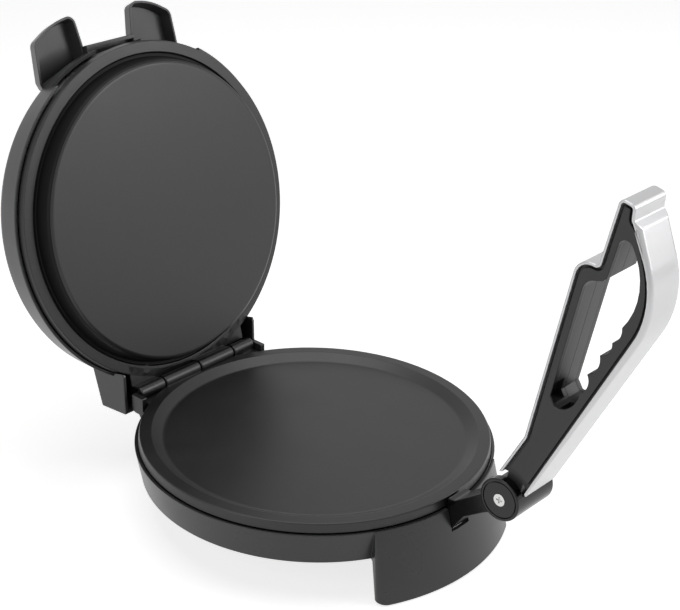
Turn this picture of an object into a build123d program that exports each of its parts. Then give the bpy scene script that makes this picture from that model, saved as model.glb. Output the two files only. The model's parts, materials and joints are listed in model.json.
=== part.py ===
from build123d import *
from math import cos, radians, sin
import os

# Electric roti maker. The origin is on the surface it stands on, under the centre of the pan.
# +X is right, -Y is the front with the press lever, +Y is the hinge side, +Z is up.
# The lid and the lever are drawn where they rest: the lid open, the lever leaning outward.

# ---- driving dimensions, mm and degrees ----
PAN_TOP = 65.0  # rim of the pan above the table
PLATE_R = 140.0
FLOOR_R = 121.0
PAN_DEPTH = 5.0
PLATE_T = 5.0
LIP_R = 130.5

SHELL_R = 144.0  # base shell at its rim
SHELL_FOOT_R = 139.0  # base shell at its underside
SHELL_RIM = PAN_TOP - 8.0
SHELL_BASE = 30.5
WALL = 2.5

APRON_TOP_R = 144.6
APRON_FOOT_R = 159.5
APRON_HALF_ANGLE = 30.0
APRON_FOOT_Z = 1.0
APRON_WALL = 3.0

HINGE_Y = 138.0
HINGE_Z = PAN_TOP + 2.5
BARREL_R = 5.2
HINGE_PIN_R = 2.0
RUN_CLEARANCE = 0.06
KNUCKLES = [-65.6, -38.4, 2.0, 41.3, 65.6]  # ends of the four knuckles along X
LID_OPEN = 103.2

LID_RING = PAN_TOP + 10.0  # ring of the press plate with the lid closed
PRESS_FACE = PAN_TOP - 2.5  # face of the raised disc with the lid closed
PRESS_R = 124.0
PRESS_ROOT_R = 126.8
LID_PLATE_R = 139.0
TAB_HALF = 64.5

LID_RIM = PAN_TOP + 16.0
LID_RIM_R = 143.0
LID_SHOULDER_R = 137.8
LID_CROWN = PAN_TOP + 50.0
LUG_LIP = PAN_TOP + 40.0
LUG_TOP = PAN_TOP + 52.0
LUG_INNER = 27.0
LUG_OUTER = 73.0
LUG_TAPER = 17.0
LUG_WALL = 2.2
HOUSING_HALF = 76.0
HOUSING_BACK = 154.6

PIVOT_Y = -196.2
PIVOT_Z = PAN_TOP + 28.3
EAR_R = 16.7
EAR_OUT = 21.75  # outer face of the clevis ears from the middle
EAR_IN = 15.0
TROUGH_R = 14.6
BOLT_R = 3.0
ARM_HALF = 10.0

LEVER_LEAN = 10.9
LEVER_HALF = 18.3
BAND = 2.0  # thickness of the silver cover
HALF_FACE = 16.4  # rim of the dark halves beside the cover's edge
HALF_RAISED = 17.6  # their raised face inside the groove
GROOVE = 2.1
BACK_ROUND = 4.5
KNUCKLE_R = 13.8
BUSH_R = 5.0
LEVER_CLEAR_R = 21.5
FACE_CLEAR_R = 27.5

ELEMENT_R = 85.0
TUBE_R = 4.0
SCREW_RING = 112.0
COVER_SCREW_RING = 130.5
LEG_X, LEG_Y = 54.0, 108.0
LEG_SIZE = (24.0, 20.0)
FOOT_H = 4.0
FRONT_FOOT_R = 147.5
FRONT_FOOT_ANGLE = 22.0

HINGE_AXIS_AT = (0, HINGE_Y, HINGE_Z)
lid_turn = Pos(*HINGE_AXIS_AT) * Rot(-LID_OPEN, 0, 0) * Pos(0, -HINGE_Y, -HINGE_Z)

# Planes in which a point has the coordinates that it would have with the lid closed.
LID = Plane(lid_turn)
LID_FRONT = Plane(LID.origin, x_dir=LID.x_dir, z_dir=-LID.y_dir)
LID_SIDE = Plane(LID.origin, x_dir=LID.y_dir, z_dir=LID.x_dir)
LID_AXIS = Axis(LID.origin, LID.z_dir)

# In the lever's plane x runs from the pivot to the tip and y towards the pan. Its normal is -X.
lean = radians(LEVER_LEAN)
LEVER = Plane((0, PIVOT_Y, PIVOT_Z), x_dir=(0, -sin(lean), cos(lean)), z_dir=(-1, 0, 0))

SCREW_ANGLES = [45, 135, 225, 315]


def polar(radius, angle):
    """A point on a circle about the pan's axis; the angle is from the front, towards +X."""
    return (radius * sin(radians(angle)), -radius * cos(radians(angle)))


def shell_r(z):
    """Outer radius of the base shell's wall at height z."""
    return SHELL_R - (SHELL_R - SHELL_FOOT_R) * (SHELL_RIM - z) / (SHELL_RIM - SHELL_BASE)


def apron_r(z):
    """Outer radius of the flared front foot at height z."""
    flare = (APRON_FOOT_R - APRON_TOP_R) / (SHELL_RIM - APRON_FOOT_Z)
    return APRON_TOP_R + flare * (SHELL_RIM - z)


def rounded_polygon(sketch, corners):
    """Draw a polygon in the sketch. Each corner is x, y and the radius that rounds it."""
    with BuildLine() as outline:
        Polyline(*[(x, y) for x, y, radius in corners], close=True)
    make_face(outline.edges())
    for x, y, radius in corners:
        if radius:
            fillet(sketch.vertices().sort_by_distance((x, y, 0))[0], radius=radius)


def front_sector(sketch, r_in, r_out, half_angle, corner):
    """Draw a sector at the front between two radii, with its two outer corners rounded."""
    with BuildLine() as outline:
        outer = CenterArc((0, 0), r_out, -90 - half_angle, 2 * half_angle)
        inner = CenterArc((0, 0), r_in, -90 - half_angle, 2 * half_angle)
        Line(outer @ 0, inner @ 0)
        Line(outer @ 1, inner @ 1)
    make_face(outline.edges())
    fillet(sketch.vertices().group_by(Axis.Y)[0], radius=corner)


def export(name, piece):
    piece.part.label = name
    export_step(piece.part, f"parts/{name}.step")


os.makedirs("parts", exist_ok=True)

# ---- base shell: round wall, inner flange, flared front foot, hinge posts ----
FLANGE_Z = SHELL_BASE + 2.5
POST_INNER = 66.6
POST_OUTER = 71.4
POST_TOP = PAN_TOP + 3.5
POST_BASE = PAN_TOP - 12.3
BACK_WALL_HALF = 49.0
REAR_FLAT = 133.0
NOTCH_BASE = PAN_TOP - 26.0
CABLE_ANGLE = 138.0
CABLE_Z = 44.0
CABLE_R = 5.0
HOLLOW_TOP = 50.0
FRONT_FEET = [polar(FRONT_FOOT_R, FRONT_FOOT_ANGLE), polar(FRONT_FOOT_R, -FRONT_FOOT_ANGLE)]
REAR_FEET = [(-LEG_X, LEG_Y), (LEG_X, LEG_Y)]
COVER_SCREWS = [polar(COVER_SCREW_RING, angle) for angle in SCREW_ANGLES]
PLATE_SCREWS = [polar(SCREW_RING, angle) for angle in SCREW_ANGLES]
BRACKET_SCREWS = [(-15, -122), (15, -122)]

with BuildPart() as base_shell:
    # The front foot: outer shape, then the hollow, then the cut-back of its side walls.
    with BuildSketch(Plane.XY.offset(APRON_FOOT_Z)) as foot_outline:
        front_sector(foot_outline, 132.2, APRON_FOOT_R, APRON_HALF_ANGLE, 8)
    with BuildSketch(Plane.XY.offset(SHELL_RIM)) as rim_outline:
        front_sector(rim_outline, SHELL_R - 1.25, APRON_TOP_R, APRON_HALF_ANGLE, 0.8)
    loft(ruled=True)
    with BuildSketch(Plane.XY) as hollow_foot:
        front_sector(hollow_foot, 118, apron_r(0) - APRON_WALL, APRON_HALF_ANGLE - 1.2, 5)
    with BuildSketch(Plane.XY.offset(HOLLOW_TOP)) as hollow_top:
        front_sector(hollow_top, 118, apron_r(HOLLOW_TOP) - APRON_WALL, APRON_HALF_ANGLE - 1.2, 2)
    loft(ruled=True, mode=Mode.SUBTRACT)
    with BuildSketch(Plane.XZ):
        with BuildLine():
            Polyline((0, SHELL_BASE), (142, SHELL_BASE), (151.5, 0), (0, 0), close=True)
        make_face()
    revolve(axis=Axis.Z, mode=Mode.SUBTRACT)
    # The round wall with its flange.
    with BuildSketch(Plane.XZ):
        with BuildLine():
            Polyline(
                (SHELL_R, SHELL_RIM),
                (SHELL_FOOT_R, SHELL_BASE),
                (SHELL_FOOT_R - WALL, SHELL_BASE),
                (SHELL_FOOT_R - WALL, FLANGE_Z),
                (124, FLANGE_Z),
                (124, FLANGE_Z + WALL),
                (shell_r(FLANGE_Z + WALL) - WALL, FLANGE_Z + WALL),
                (SHELL_R - WALL, SHELL_RIM),
                close=True,
            )
        make_face()
    revolve(axis=Axis.Z)
    # Bosses that hold the two front feet, and the shelf under the lever bracket.
    with BuildSketch(Plane.XY.offset(APRON_FOOT_Z + 1)):
        with Locations(*FRONT_FEET):
            Circle(8.5)
    extrude(amount=12)
    with BuildSketch(Plane.XY.offset(FLANGE_Z)):
        with Locations((0, -123)):
            Rectangle(56, 24)
    extrude(amount=WALL)
    with BuildSketch(Plane.XY.offset(FLANGE_Z)):
        with Locations(*COVER_SCREWS):
            Circle(4.5)
    extrude(amount=9)
    # The back is flat, and a post stands at each end of the hinge.
    with Locations((0, REAR_FLAT + 20, 44)):
        Box(150, 40, 40, mode=Mode.SUBTRACT)
    with Locations((0, REAR_FLAT - WALL / 2, 42.75)):
        Box(2 * BACK_WALL_HALF, WALL, 24.5)
    for side in (-1, 1):
        with BuildSketch(Plane.YZ.offset(side * POST_INNER)) as post:
            rounded_polygon(
                post,
                [
                    (120, 46, 0),
                    (126, 46, 0),
                    (131, POST_BASE, 0),
                    (139.5, POST_BASE, 5),
                    (139.5, POST_TOP, 0.8),
                    (126, POST_TOP, 0.8),
                    (126, SHELL_RIM, 0),
                    (120, SHELL_RIM, 0),
                ],
            )
        extrude(amount=side * (POST_OUTER - POST_INNER))
    # Room for the bracket's arm, from the rim down through the wall and the front foot.
    with Locations((0, -150, (NOTCH_BASE + 70) / 2)):
        Box(2 * ARM_HALF + 0.6, 30, 70 - NOTCH_BASE, mode=Mode.SUBTRACT)
    # Holes for the cable, the cover screws, the bracket screws and the feet.
    wall_slope = radians(10.7)
    cable_out = (*polar(cos(wall_slope), CABLE_ANGLE), -sin(wall_slope))
    CABLE_PLANE = Plane((*polar(shell_r(CABLE_Z) - WALL / 2, CABLE_ANGLE), CABLE_Z), z_dir=cable_out)
    with BuildSketch(CABLE_PLANE):
        Circle(CABLE_R)
    extrude(amount=5, both=True, mode=Mode.SUBTRACT)
    with BuildSketch(Plane.XY.offset(FLANGE_Z)):
        with Locations(*COVER_SCREWS):
            Circle(1.5)
    extrude(amount=8, mode=Mode.SUBTRACT)
    with BuildSketch(Plane.XY.offset(FLANGE_Z)):
        with Locations(*BRACKET_SCREWS):
            Circle(1.9)
    extrude(amount=WALL, mode=Mode.SUBTRACT)
    with BuildSketch(Plane.XY.offset(APRON_FOOT_Z)):
        with Locations(*FRONT_FEET):
            Circle(7)
    extrude(amount=FOOT_H - APRON_FOOT_Z, mode=Mode.SUBTRACT)
export("base_shell", base_shell)

# ---- bottom cover: disc, clamp posts under the pan, two hollow rear legs ----
SHIELD_Z = 43.2
SHEET = 0.8
LEG_BASE = 2.0

with BuildPart() as bottom_cover:
    with BuildSketch(Plane.XY.offset(SHELL_BASE)):
        Circle(136.2)
    extrude(amount=2.5)
    with BuildSketch(Plane.XY.offset(FLANGE_Z)):
        with Locations(*PLATE_SCREWS):
            Circle(5.5)
    extrude(amount=SHIELD_Z - FLANGE_Z)
    with BuildSketch(Plane.XY.offset(SHELL_BASE)):
        with Locations(*REAR_FEET):
            RectangleRounded(*LEG_SIZE, 4)
    extrude(amount=-(SHELL_BASE - LEG_BASE), taper=2)
    with BuildSketch(Plane.XY.offset(FLANGE_Z)):
        with Locations(*REAR_FEET):
            RectangleRounded(LEG_SIZE[0] - 5, LEG_SIZE[1] - 5, 2)
    extrude(amount=-(FLANGE_Z - 6.5), taper=2, mode=Mode.SUBTRACT)
    with BuildSketch(Plane.XY.offset(LEG_BASE)):
        with Locations(*REAR_FEET):
            Circle(7)
    extrude(amount=FOOT_H - LEG_BASE, mode=Mode.SUBTRACT)
    with Locations((0, 140, SHELL_BASE)):
        Box(200, 19.2, 30, mode=Mode.SUBTRACT)
    with BuildSketch(Plane.XY.offset(SHELL_BASE)):
        with Locations(*PLATE_SCREWS):
            Circle(3.8)
    extrude(amount=4.5, mode=Mode.SUBTRACT)
    with BuildSketch(Plane.XY.offset(SHELL_BASE)):
        with Locations(*PLATE_SCREWS):
            Circle(2)
        with Locations(*COVER_SCREWS):
            Circle(1.7)
    extrude(amount=20, mode=Mode.SUBTRACT)
export("bottom_cover", bottom_cover)

with BuildPart() as rubber_feet:
    with BuildSketch(Plane.XY):
        with Locations(*FRONT_FEET, *REAR_FEET):
            Circle(6.95)
    extrude(amount=FOOT_H)
    fillet(rubber_feet.edges().group_by(Axis.Z)[0], radius=1)
export("rubber_feet", rubber_feet)

with BuildPart() as cover_screws:
    with BuildSketch(Plane.XY.offset(SHELL_BASE - 1.6)):
        with Locations(*COVER_SCREWS):
            Circle(3.2)
    extrude(amount=1.6)
    with BuildSketch(Plane.XY.offset(SHELL_BASE)):
        with Locations(*COVER_SCREWS):
            Circle(1.48)
    extrude(amount=9)
export("cover_screws", cover_screws)

# ---- lower plate: pan, rim ring, hinge tab with two knuckles, element channel, bosses ----
FLOOR_Z = PAN_TOP - PAN_DEPTH
UNDER_Z = FLOOR_Z - PLATE_T
LOWER_TUBE_Z = UNDER_Z - 5.0
LOWER_BOSS_Z = SHIELD_Z + SHEET
UPPER_KNUCKLES = [(KNUCKLES[0], KNUCKLES[1]), (KNUCKLES[2], KNUCKLES[3])]
LOWER_KNUCKLES = [(KNUCKLES[1], KNUCKLES[2]), (KNUCKLES[3], KNUCKLES[4])]
END_GAP = 0.7
RELIEF_R = BARREL_R + 0.6
PIN_BORE_R = HINGE_PIN_R + RUN_CLEARANCE
HINGE_SIDE = Plane((0, HINGE_Y, HINGE_Z), x_dir=(0, 1, 0), z_dir=(1, 0, 0))

with BuildPart() as lower_plate:
    with BuildSketch(Plane.XZ) as pan_section:
        rounded_polygon(
            pan_section,
            [
                (0, FLOOR_Z, 0),
                (FLOOR_R, FLOOR_Z, 6),
                (LIP_R, PAN_TOP, 1.5),
                (PLATE_R, PAN_TOP, 1.3),
                (PLATE_R + 1.3, SHELL_RIM + 0.3, 0.6),
                (PLATE_R - 1.6, SHELL_RIM + 0.3, 0),
                (PLATE_R - 2.2, SHELL_RIM + 3.5, 0),
                (133, SHELL_RIM + 3.5, 0),
                (128, UNDER_Z, 2),
                (0, UNDER_Z, 0),
            ],
        )
    revolve(axis=Axis.Z)
    with BuildSketch(Plane.XZ):
        with Locations((ELEMENT_R, (UNDER_Z + 48) / 2)):
            Rectangle(12, UNDER_Z - 48 + 0.2)
    revolve(axis=Axis.Z)
    with BuildSketch(Plane.XY.offset(UNDER_Z + 0.2)):
        with Locations(*PLATE_SCREWS):
            Circle(5)
    extrude(amount=LOWER_BOSS_Z - UNDER_Z - 0.2)
    with BuildSketch(Plane.XZ):
        with Locations((ELEMENT_R, LOWER_TUBE_Z)):
            Circle(TUBE_R + 0.05)
        with Locations((ELEMENT_R, LOWER_TUBE_Z - 2)):
            Rectangle(2 * TUBE_R + 0.1, 4)
    revolve(axis=Axis.Z, mode=Mode.SUBTRACT)
    with BuildSketch(Plane.XY.offset(LOWER_BOSS_Z)):
        with Locations(*PLATE_SCREWS):
            Circle(1.7)
    extrude(amount=9, mode=Mode.SUBTRACT)
    # Hinge tab outside the pan, with room for the lid's knuckles.
    with BuildSketch(Plane.XY.offset(SHELL_RIM + 0.3)):
        with Locations((0, 119)):
            Rectangle(132, 38)
        Circle(132, mode=Mode.SUBTRACT)
    extrude(amount=5.7)
    for start, end in UPPER_KNUCKLES:
        with BuildSketch(HINGE_SIDE.offset(start - 0.3)):
            Circle(RELIEF_R)
            with Locations((4, -8)):
                Rectangle(8, 16)
        extrude(amount=end - start + 0.6, mode=Mode.SUBTRACT)
    for start, end in LOWER_KNUCKLES:
        with BuildSketch(HINGE_SIDE.offset(start + END_GAP)):
            Circle(BARREL_R)
            with Locations((-2.5, -5)):
                Rectangle(5, 10)
        extrude(amount=end - start - 2 * END_GAP)
    with BuildSketch(HINGE_SIDE):
        Circle(HINGE_PIN_R + 0.01)
    extrude(amount=70, both=True, mode=Mode.SUBTRACT)
export("lower_plate", lower_plate)

with BuildPart() as lower_plate_screws:
    with BuildSketch(Plane.XY.offset(SHELL_BASE + 1.5)):
        with Locations(*PLATE_SCREWS):
            Circle(3.3)
    extrude(amount=3)
    with BuildSketch(Plane.XY.offset(SHELL_BASE + 4.5)):
        with Locations(*PLATE_SCREWS):
            Circle(1.68)
    extrude(amount=16)
export("lower_plate_screws", lower_plate_screws)

# ---- heating elements: a tube most of the way round, with a pin at each end ----
TUBE_ARC = 330.0
PIN_R = 1.5


def element(centre):
    """Model a tubular element about the location's Z axis, its gap at the back."""
    axis = Axis(centre.position, Plane(centre).z_dir)
    for radius, arc in ((TUBE_R, TUBE_ARC), (PIN_R, TUBE_ARC + 16)):
        start = centre * Rot(0, 0, 90 - arc / 2) * Rot(90, 0, 0)
        with BuildSketch(Plane(start)) as section:
            with Locations((ELEMENT_R, 0)):
                Circle(radius)
        revolve(section.sketch, axis=axis, revolution_arc=arc)


with BuildPart() as lower_element:
    element(Plane.XY.offset(LOWER_TUBE_Z).location)
export("lower_element", lower_element)

with BuildPart() as lower_heat_shield:
    with BuildSketch(Plane.XY.offset(SHIELD_Z)):
        Circle(132)
        with Locations(*PLATE_SCREWS):
            Circle(2, mode=Mode.SUBTRACT)
        with Locations((0, -132)):
            Rectangle(24, 36, mode=Mode.SUBTRACT)
        with Locations((0, 139.5)):
            Rectangle(160, 20, mode=Mode.SUBTRACT)
    extrude(amount=SHEET)
export("lower_heat_shield", lower_heat_shield)

# ---- electrical parts in the base ----
with BuildPart() as thermostat:
    with BuildSketch(Plane.XY.offset(UNDER_Z)):
        with Locations((0, 40)):
            Circle(9)
    extrude(amount=-5)
    with BuildSketch(Plane.XY.offset(UNDER_Z - 5)):
        with Locations((0, 40)):
            Circle(7)
    extrude(amount=-4)
export("thermostat", thermostat)

with BuildPart() as thermal_fuse:
    with BuildSketch(Plane.YZ):
        with Locations((0, UNDER_Z - 2.5)):
            Circle(2.5)
    extrude(amount=7, both=True)
export("thermal_fuse", thermal_fuse)

with BuildPart() as terminal_block:
    with Locations((48, 60, FLANGE_Z + 4)):
        Box(30, 14, 8)
    with Locations(Plane.XY.offset(FLANGE_Z + 8)):
        with Locations((38, 60), (48, 60), (58, 60)):
            Hole(2.2, depth=4)
export("terminal_block", terminal_block)

# Cable gland in the wall: nut inside, flange and nose outside.
with BuildPart() as cord_gland:
    with BuildSketch(CABLE_PLANE.offset(-4.5)):
        Circle(7)
    extrude(amount=3)
    with BuildSketch(CABLE_PLANE.offset(-1.5)):
        Circle(CABLE_R - 0.05)
    extrude(amount=2.8)
    with BuildSketch(CABLE_PLANE.offset(1.3)):
        Circle(7.5)
    extrude(amount=2.5)
    with BuildSketch(CABLE_PLANE.offset(3.8)):
        Circle(5.5)
    extrude(amount=11, taper=3)
    with BuildSketch(CABLE_PLANE):
        Circle(3.2)
    extrude(amount=20, both=True, mode=Mode.SUBTRACT)
export("cord_gland", cord_gland)

# ---- lever bracket: foot, arm through the notch, clevis with two ears and a trough ----
PIVOT_SIDE = Plane((0, PIVOT_Y, PIVOT_Z), x_dir=(0, 1, 0), z_dir=(1, 0, 0))
TROUGH_START = -203.0  # outer lip of the trough, degrees from the pan's side, upward positive
TROUGH_END = -15.0
RECESS_R = 14.3
RECESS_DEPTH = 1.5

with BuildPart() as pivot_bracket:
    with BuildSketch(Plane.YZ) as arm_outline:
        rounded_polygon(
            arm_outline,
            [
                (-116, FLANGE_Z + WALL, 0),
                (-116, 50, 3),
                (-136, 50, 3),
                (-142.5, 55, 0),
                (-142.5, PAN_TOP + 1.2, 2),
                (-149, PAN_TOP + 1.2, 6),
                (-186, 92, 0),
                (-196, 78, 0),
                (-176.4, 68.4, 12),
                (-159, 57, 0),
                (-147, 39.6, 3),
                (-136.8, 39.6, 0),
                (-135.5, FLANGE_Z + WALL, 0),
            ],
        )
    extrude(amount=ARM_HALF, both=True)
    with BuildSketch(Plane.XY.offset(FLANGE_Z + WALL)):
        with Locations((0, -124)):
            RectangleRounded(44, 22, 3)
        with Locations(*BRACKET_SCREWS):
            Circle(2.1, mode=Mode.SUBTRACT)
    extrude(amount=3.5)
    with BuildSketch(PIVOT_SIDE):
        Circle(EAR_R)
    extrude(amount=EAR_OUT, both=True)
    fillet(pivot_bracket.edges().filter_by(GeomType.CIRCLE).filter_by(
        lambda e: abs(abs(e.center().X) - EAR_OUT) < 0.01), radius=1)
    # The space between the ears, and its mouth above the trough's two lips.
    with BuildSketch(PIVOT_SIDE):
        Circle(TROUGH_R)
        with BuildLine():
            lip_a = (40 * cos(radians(TROUGH_START)), 40 * sin(radians(TROUGH_START)))
            lip_b = (40 * cos(radians(TROUGH_END)), 40 * sin(radians(TROUGH_END)))
            Polyline((0, 0), lip_a, (lip_a[0], 40), (lip_b[0], 40), lip_b, close=True)
        make_face()
    extrude(amount=EAR_IN, both=True, mode=Mode.SUBTRACT)
    with BuildSketch(PIVOT_SIDE):
        Circle(BOLT_R + 0.02)
    extrude(amount=30, both=True, mode=Mode.SUBTRACT)
    for side in (-1, 1):
        with BuildSketch(PIVOT_SIDE.offset(side * EAR_OUT)):
            Circle(RECESS_R)
        extrude(amount=-side * RECESS_DEPTH, mode=Mode.SUBTRACT)
export("pivot_bracket", pivot_bracket)

with BuildPart() as bracket_screws:
    with BuildSketch(Plane.XY.offset(FLANGE_Z + WALL + 3.5)):
        with Locations(*BRACKET_SCREWS):
            Circle(3.5)
    extrude(amount=2)
    with BuildSketch(Plane.XY.offset(FLANGE_Z + 0.2)):
        with Locations(*BRACKET_SCREWS):
            Circle(1.88)
    extrude(amount=WALL + 3.3)
export("bracket_screws", bracket_screws)

for name, side in (("pivot_cap_left", -1), ("pivot_cap_right", 1)):
    with BuildPart() as pivot_cap:
        with BuildSketch(PIVOT_SIDE.offset(side * (EAR_OUT - RECESS_DEPTH))):
            Circle(13.6)
            Circle(5.1, mode=Mode.SUBTRACT)
        extrude(amount=side * 1.2)
    export(name, pivot_cap)

with BuildPart() as pivot_bolt:
    with BuildSketch(PIVOT_SIDE.offset(-EAR_OUT + RECESS_DEPTH)):
        Circle(BOLT_R)
    extrude(amount=2 * EAR_OUT - RECESS_DEPTH)
    with BuildSketch(PIVOT_SIDE.offset(-EAR_OUT + RECESS_DEPTH)):
        Circle(4.8)
    extrude(amount=-1.6)
    with BuildSketch(PIVOT_SIDE.offset(-EAR_OUT - 0.1)):
        Rectangle(5, 1.2)
        Rectangle(1.2, 5)
    extrude(amount=0.9, mode=Mode.SUBTRACT)
export("pivot_bolt", pivot_bolt)

with BuildPart() as pivot_nut:
    with BuildSketch(PIVOT_SIDE.offset(EAR_OUT - RECESS_DEPTH)):
        RegularPolygon(4.9, 6)
        Circle(BOLT_R + 0.02, mode=Mode.SUBTRACT)
    extrude(amount=3)
export("pivot_nut", pivot_nut)

with BuildPart() as hinge_pin:
    with BuildSketch(HINGE_SIDE):
        Circle(HINGE_PIN_R)
    extrude(amount=64, both=True)
export("hinge_pin", hinge_pin)

# ---- lid: everything below is placed on planes where points read as with the lid closed ----
LID_HINGE_SIDE = Plane(lid_turn * HINGE_SIDE.location)
UPPER_BACK = PRESS_FACE + PLATE_T
RING_BACK = LID_RING + PLATE_T
UPPER_TUBE_Z = UPPER_BACK + 5.0
UPPER_SHIELD_Z = PAN_TOP + 19.0
TAB_SCREWS = [(-45.85, 124.2), (45.85, 124.2)]
ROOT_GROOVE = 1.8

with BuildPart() as upper_plate:
    with BuildSketch(LID_FRONT) as press_section:
        rounded_polygon(
            press_section,
            [
                (0, PRESS_FACE, 0),
                (PRESS_R - 0.6, PRESS_FACE, 4.5),
                (PRESS_ROOT_R - 0.5, LID_RING + ROOT_GROOVE, 1),
                (PRESS_ROOT_R + 2.6, LID_RING + ROOT_GROOVE, 1),
                (PRESS_ROOT_R + 3.2, LID_RING, 0),
                (LID_PLATE_R, LID_RING, 1.0),
                (LID_PLATE_R + 0.8, LID_RIM, 0),
                (LID_PLATE_R - 1.7, LID_RIM, 0),
                (LID_PLATE_R - 2.0, RING_BACK, 0),
                (123.5, RING_BACK, 2),
                (118.5, UPPER_BACK, 3),
                (0, UPPER_BACK, 0),
            ],
        )
    revolve(axis=LID_AXIS)
    with BuildSketch(LID_FRONT):
        with Locations((ELEMENT_R, UPPER_BACK + 3.4)):
            Rectangle(12, 7.2)
    revolve(axis=LID_AXIS)
    with BuildSketch(LID.offset(UPPER_BACK - 0.2)):
        with Locations(*PLATE_SCREWS):
            Circle(5)
    extrude(amount=UPPER_SHIELD_Z - UPPER_BACK + 0.2)
    with BuildSketch(LID_FRONT):
        with Locations((ELEMENT_R, UPPER_TUBE_Z)):
            Circle(TUBE_R + 0.05)
        with Locations((ELEMENT_R, UPPER_TUBE_Z + 2)):
            Rectangle(2 * TUBE_R + 0.1, 4)
    revolve(axis=LID_AXIS, mode=Mode.SUBTRACT)
    # Rear tab and two knuckles.
    with BuildSketch(LID.offset(LID_RING)):
        with Locations((0, 117)):
            Rectangle(2 * TAB_HALF, 34)
        Circle(132, mode=Mode.SUBTRACT)
    extrude(amount=PLATE_T)
    for start, end in UPPER_KNUCKLES:
        with BuildSketch(LID_HINGE_SIDE.offset(start + END_GAP)):
            Circle(BARREL_R)
            with Locations((0, (RING_BACK - HINGE_Z) / 2)):
                Rectangle(2 * BARREL_R - 0.4, RING_BACK - HINGE_Z)
        extrude(amount=end - start - 2 * END_GAP)
    with BuildSketch(LID_HINGE_SIDE):
        Circle(PIN_BORE_R)
    extrude(amount=70, both=True, mode=Mode.SUBTRACT)
    with BuildSketch(LID.offset(LID_RING)):
        with Locations(*TAB_SCREWS):
            Circle(3.6)
    extrude(amount=2.2, mode=Mode.SUBTRACT)
    with BuildSketch(LID.offset(LID_RING)):
        with Locations(*TAB_SCREWS):
            Circle(2.1)
    extrude(amount=PLATE_T, mode=Mode.SUBTRACT)
    with BuildSketch(LID.offset(UPPER_SHIELD_Z)):
        with Locations(*PLATE_SCREWS):
            Circle(1.7)
    extrude(amount=-9, mode=Mode.SUBTRACT)
export("upper_plate", upper_plate)

with BuildPart() as upper_element:
    element(LID.offset(UPPER_TUBE_Z).location)
export("upper_element", upper_element)

SKIRT_R = 136.2
HOOK_ANGLES = [-50, 50]
HOOK_Z = UPPER_SHIELD_Z + 6.0

with BuildPart() as upper_heat_shield:
    with BuildSketch(LID_FRONT):
        with BuildLine():
            Polyline(
                (0, UPPER_SHIELD_Z),
                (SKIRT_R, UPPER_SHIELD_Z),
                (SKIRT_R, UPPER_SHIELD_Z + 14),
                (SKIRT_R - SHEET, UPPER_SHIELD_Z + 14),
                (SKIRT_R - SHEET, UPPER_SHIELD_Z + SHEET),
                (0, UPPER_SHIELD_Z + SHEET),
                close=True,
            )
        make_face()
    revolve(axis=LID_AXIS)
    with BuildSketch(LID.offset(UPPER_SHIELD_Z)):
        with Locations((0, 132)):
            Rectangle(200, 40)
    extrude(amount=20, mode=Mode.SUBTRACT)
    with BuildSketch(LID.offset(HOOK_Z - 0.5)):
        for angle in HOOK_ANGLES:
            with Locations(Location(polar(SKIRT_R, angle), angle)):
                Rectangle(9, 6)
    extrude(amount=4.5, mode=Mode.SUBTRACT)
    with BuildSketch(LID.offset(UPPER_SHIELD_Z)):
        with Locations(*PLATE_SCREWS):
            Circle(2)
    extrude(amount=SHEET, mode=Mode.SUBTRACT)
export("upper_heat_shield", upper_heat_shield)

with BuildPart() as shield_screws:
    with BuildSketch(LID.offset(UPPER_SHIELD_Z + SHEET)):
        with Locations(*PLATE_SCREWS):
            Circle(3.2)
    extrude(amount=2)
    with BuildSketch(LID.offset(UPPER_SHIELD_Z + SHEET)):
        with Locations(*PLATE_SCREWS):
            Circle(1.68)
    extrude(amount=-9)
export("shield_screws", shield_screws)

with BuildPart() as tab_screws:
    with BuildSketch(LID.offset(LID_RING + 0.4)):
        with Locations(*TAB_SCREWS):
            Circle(3.4)
    extrude(amount=1.8)
    with BuildSketch(LID.offset(LID_RING + 2.2)):
        with Locations(*TAB_SCREWS):
            Circle(1.68)
    extrude(amount=18)
    with BuildSketch(LID.offset(LID_RING + 0.4)):
        with Locations(*TAB_SCREWS):
            Rectangle(4, 1)
            Rectangle(1, 4)
    extrude(amount=0.9, mode=Mode.SUBTRACT)
export("tab_screws", tab_screws)

# ---- lid shell: two hollow lugs, dome, rear hinge housing, all open below ----
FRONT_RIM = LID_RIM + 11.0
SADDLE_HALF = 24.0
SADDLE_RIM = LID_RIM + 20.0
SADDLE_BAR_Y = -143.0
SADDLE_BAR_WALL = 3.2
SADDLE_BAR_TOP = LID_RIM + 29.0
LENSES = [(-36, -85), (36, -85)]
LENS_R = 4.5
LID_POSTS = [polar(117, -32), polar(117, 32)]


def lug(sketch):
    """Draw the rim of the right lug; its inner end lies inside the dome."""
    rounded_polygon(
        sketch,
        [
            (LUG_INNER - 2.4, -128, 0),
            (LUG_INNER - 1.4, -144, 0),
            (LUG_INNER + 2.6, -169.3, 8),
            (52, -166.2, 60),
            (LUG_OUTER - 0.7, -154.2, 9),
            (LUG_OUTER + 1.4, -121, 0),
            (LUG_OUTER - 2, -112, 0),
        ],
    )


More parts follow.
